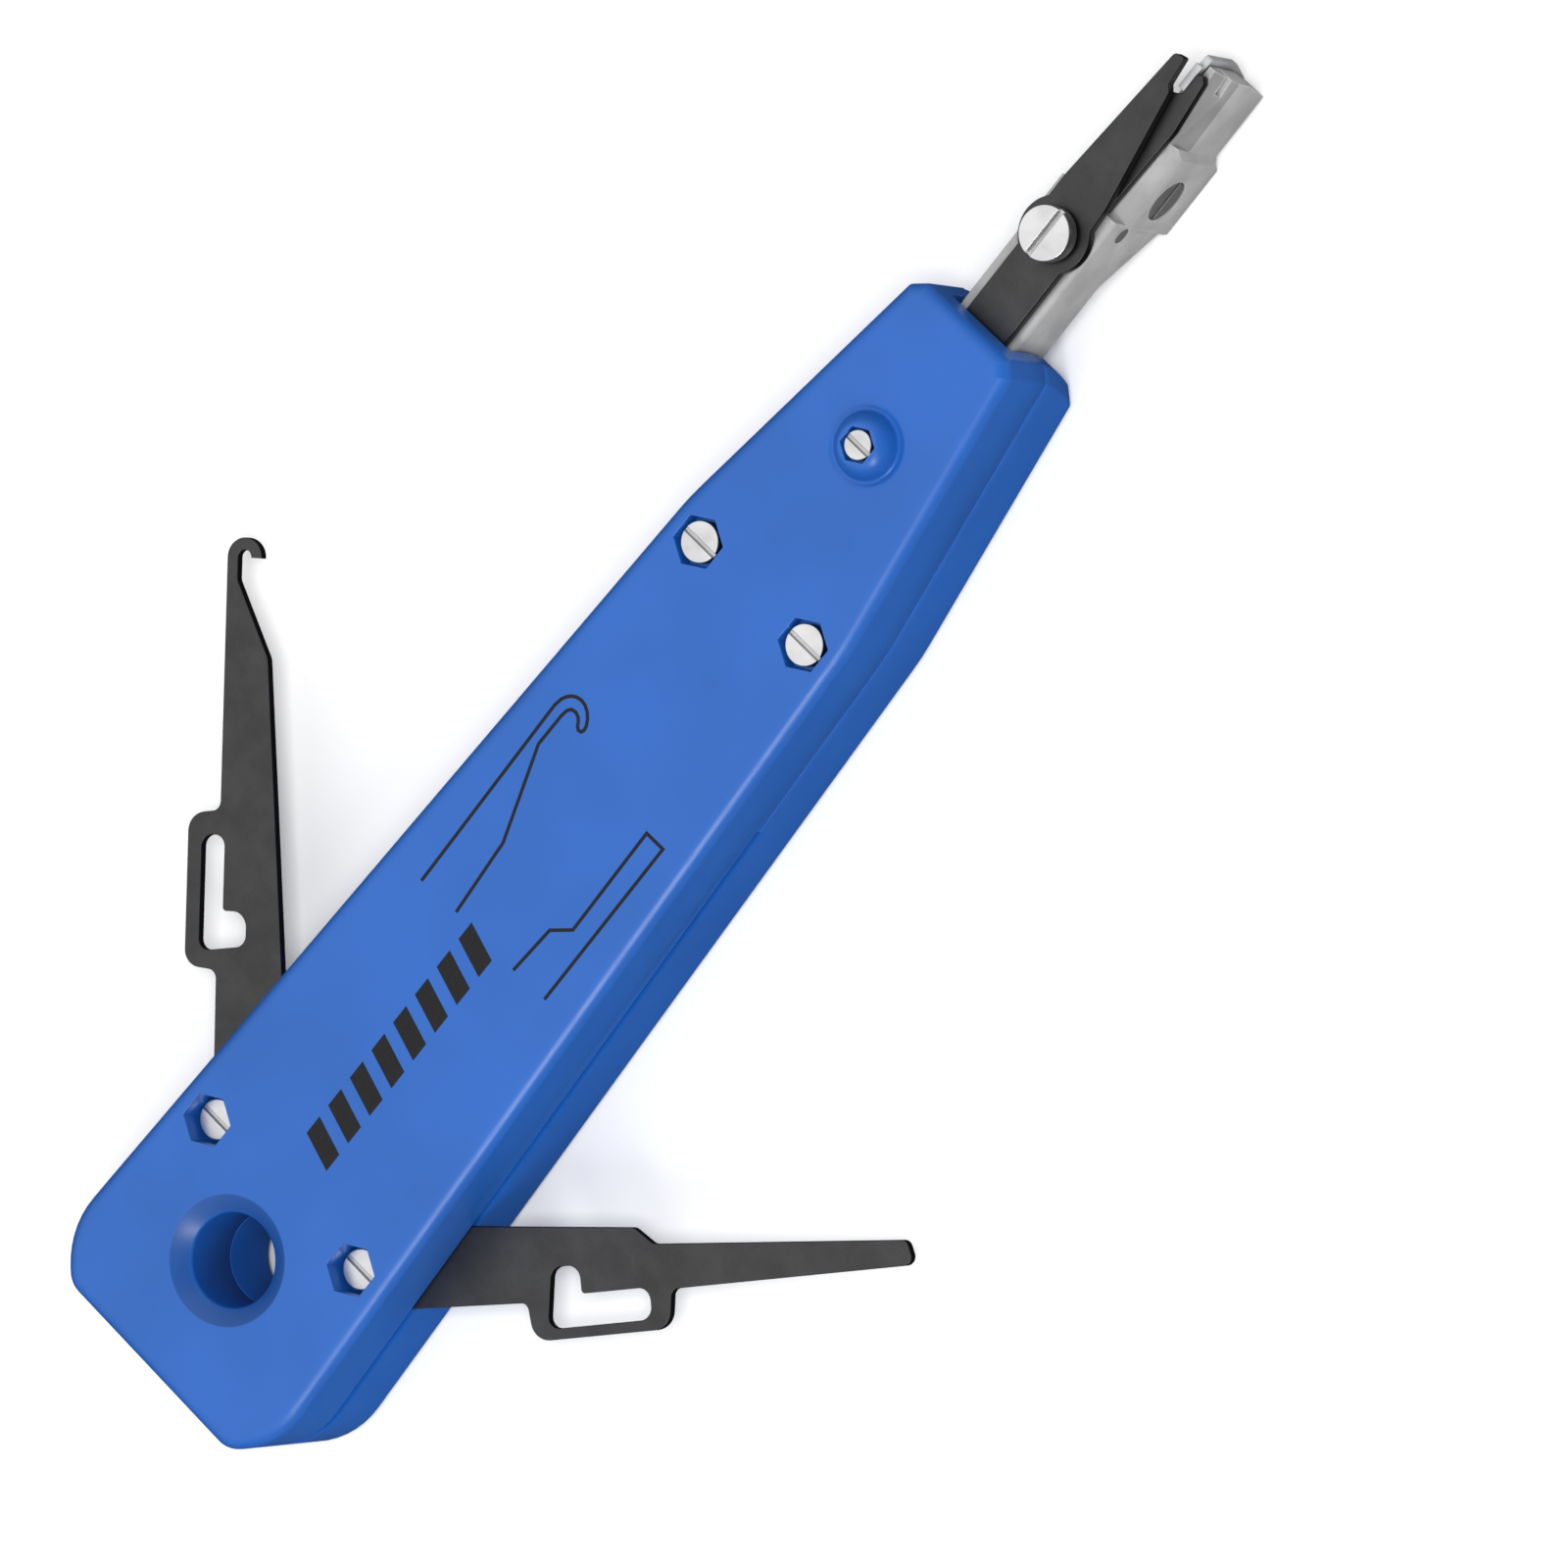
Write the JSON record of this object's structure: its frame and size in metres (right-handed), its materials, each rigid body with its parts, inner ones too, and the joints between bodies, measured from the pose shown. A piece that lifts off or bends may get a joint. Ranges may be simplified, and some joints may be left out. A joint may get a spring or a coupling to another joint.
{
  "type": "punch down tool",
  "caption": "Hand tool that pushes wires into terminal blocks: spring-loaded head with a scissor cutter, in a moulded plastic handle with a folding hook and spudger.",
  "frame": {"origin": "on the flat back face of the handle, midway between the two tail screws", "axes": "+Y along the handle to the head, +Z out of the front face, +X to the right seen from the front"},
  "size_m": [0.1043, 0.1714, 0.0198],
  "materials": {
    "handle_plastic": "satin moulded blue ABS",
    "black_steel": "black oxide on sheet steel",
    "bright_steel": "bright zinc plate",
    "blade_steel": "ground hardened steel",
    "head_metal": "satin nickel plate on a steel casting",
    "dark_steel": "darkened steel",
    "spring_steel": "bright drawn wire"
  },
  "bodies": {
    "handle": {"front_shell": "handle_plastic", "back_shell": "handle_plastic", "pivot_screw_left": "bright_steel", "pivot_nut_left": "bright_steel", "housing_screw_left": "bright_steel", "housing_nut_left": "bright_steel", "pivot_screw_right": "bright_steel", "pivot_nut_right": "bright_steel", "housing_screw_right": "bright_steel", "housing_nut_right": "bright_steel", "cam_screw": "bright_steel", "cam_nut": "bright_steel", "cam_roller": "bright_steel", "main_spring": "spring_steel", "spring_backing_plate": "bright_steel"},
    "head": {"head_casting": "head_metal", "insertion_blade": "blade_steel", "fixed_jaw": "black_steel", "blade_screw": "dark_steel", "locating_pin": "dark_steel", "lever_washer": "dark_steel", "lever_screw": "bright_steel", "spring_guide_rod": "bright_steel"},
    "lever": {"cutter_lever": "black_steel"},
    "hook": {"hook_blade": "black_steel"},
    "spudger": {"spudger_blade": "black_steel"}
  },
  "joints": [
    {"name": "head_slide", "type": "slide", "parent": "handle", "child": "head", "axis": [0, -1, 0], "range_m": [0, 0.0075], "stiffness_N_per_m": 3000, "springref_m": -0.005, "deforming": ["main_spring"]},
    {"name": "cutter_pivot", "type": "hinge", "parent": "head", "child": "lever", "pos_m": [0, 0.1252, 0.013], "axis": [0, 0, -1], "range_deg": [0, 5.6]},
    {"name": "hook_pivot", "type": "hinge", "parent": "handle", "child": "hook", "pos_m": [-0.01107, 0, 0.009], "axis": [0, 0, 1], "range_deg": [-42.5, 70]},
    {"name": "spudger_pivot", "type": "hinge", "parent": "handle", "child": "spudger", "pos_m": [0.01107, 0, 0.009], "axis": [0, 0, 1], "range_deg": [-70, 44.8]}
  ],
  "couplings": [
    {"joint": "cutter_pivot", "follows": "head_slide", "rad_per_m": 12.799}
  ]
}
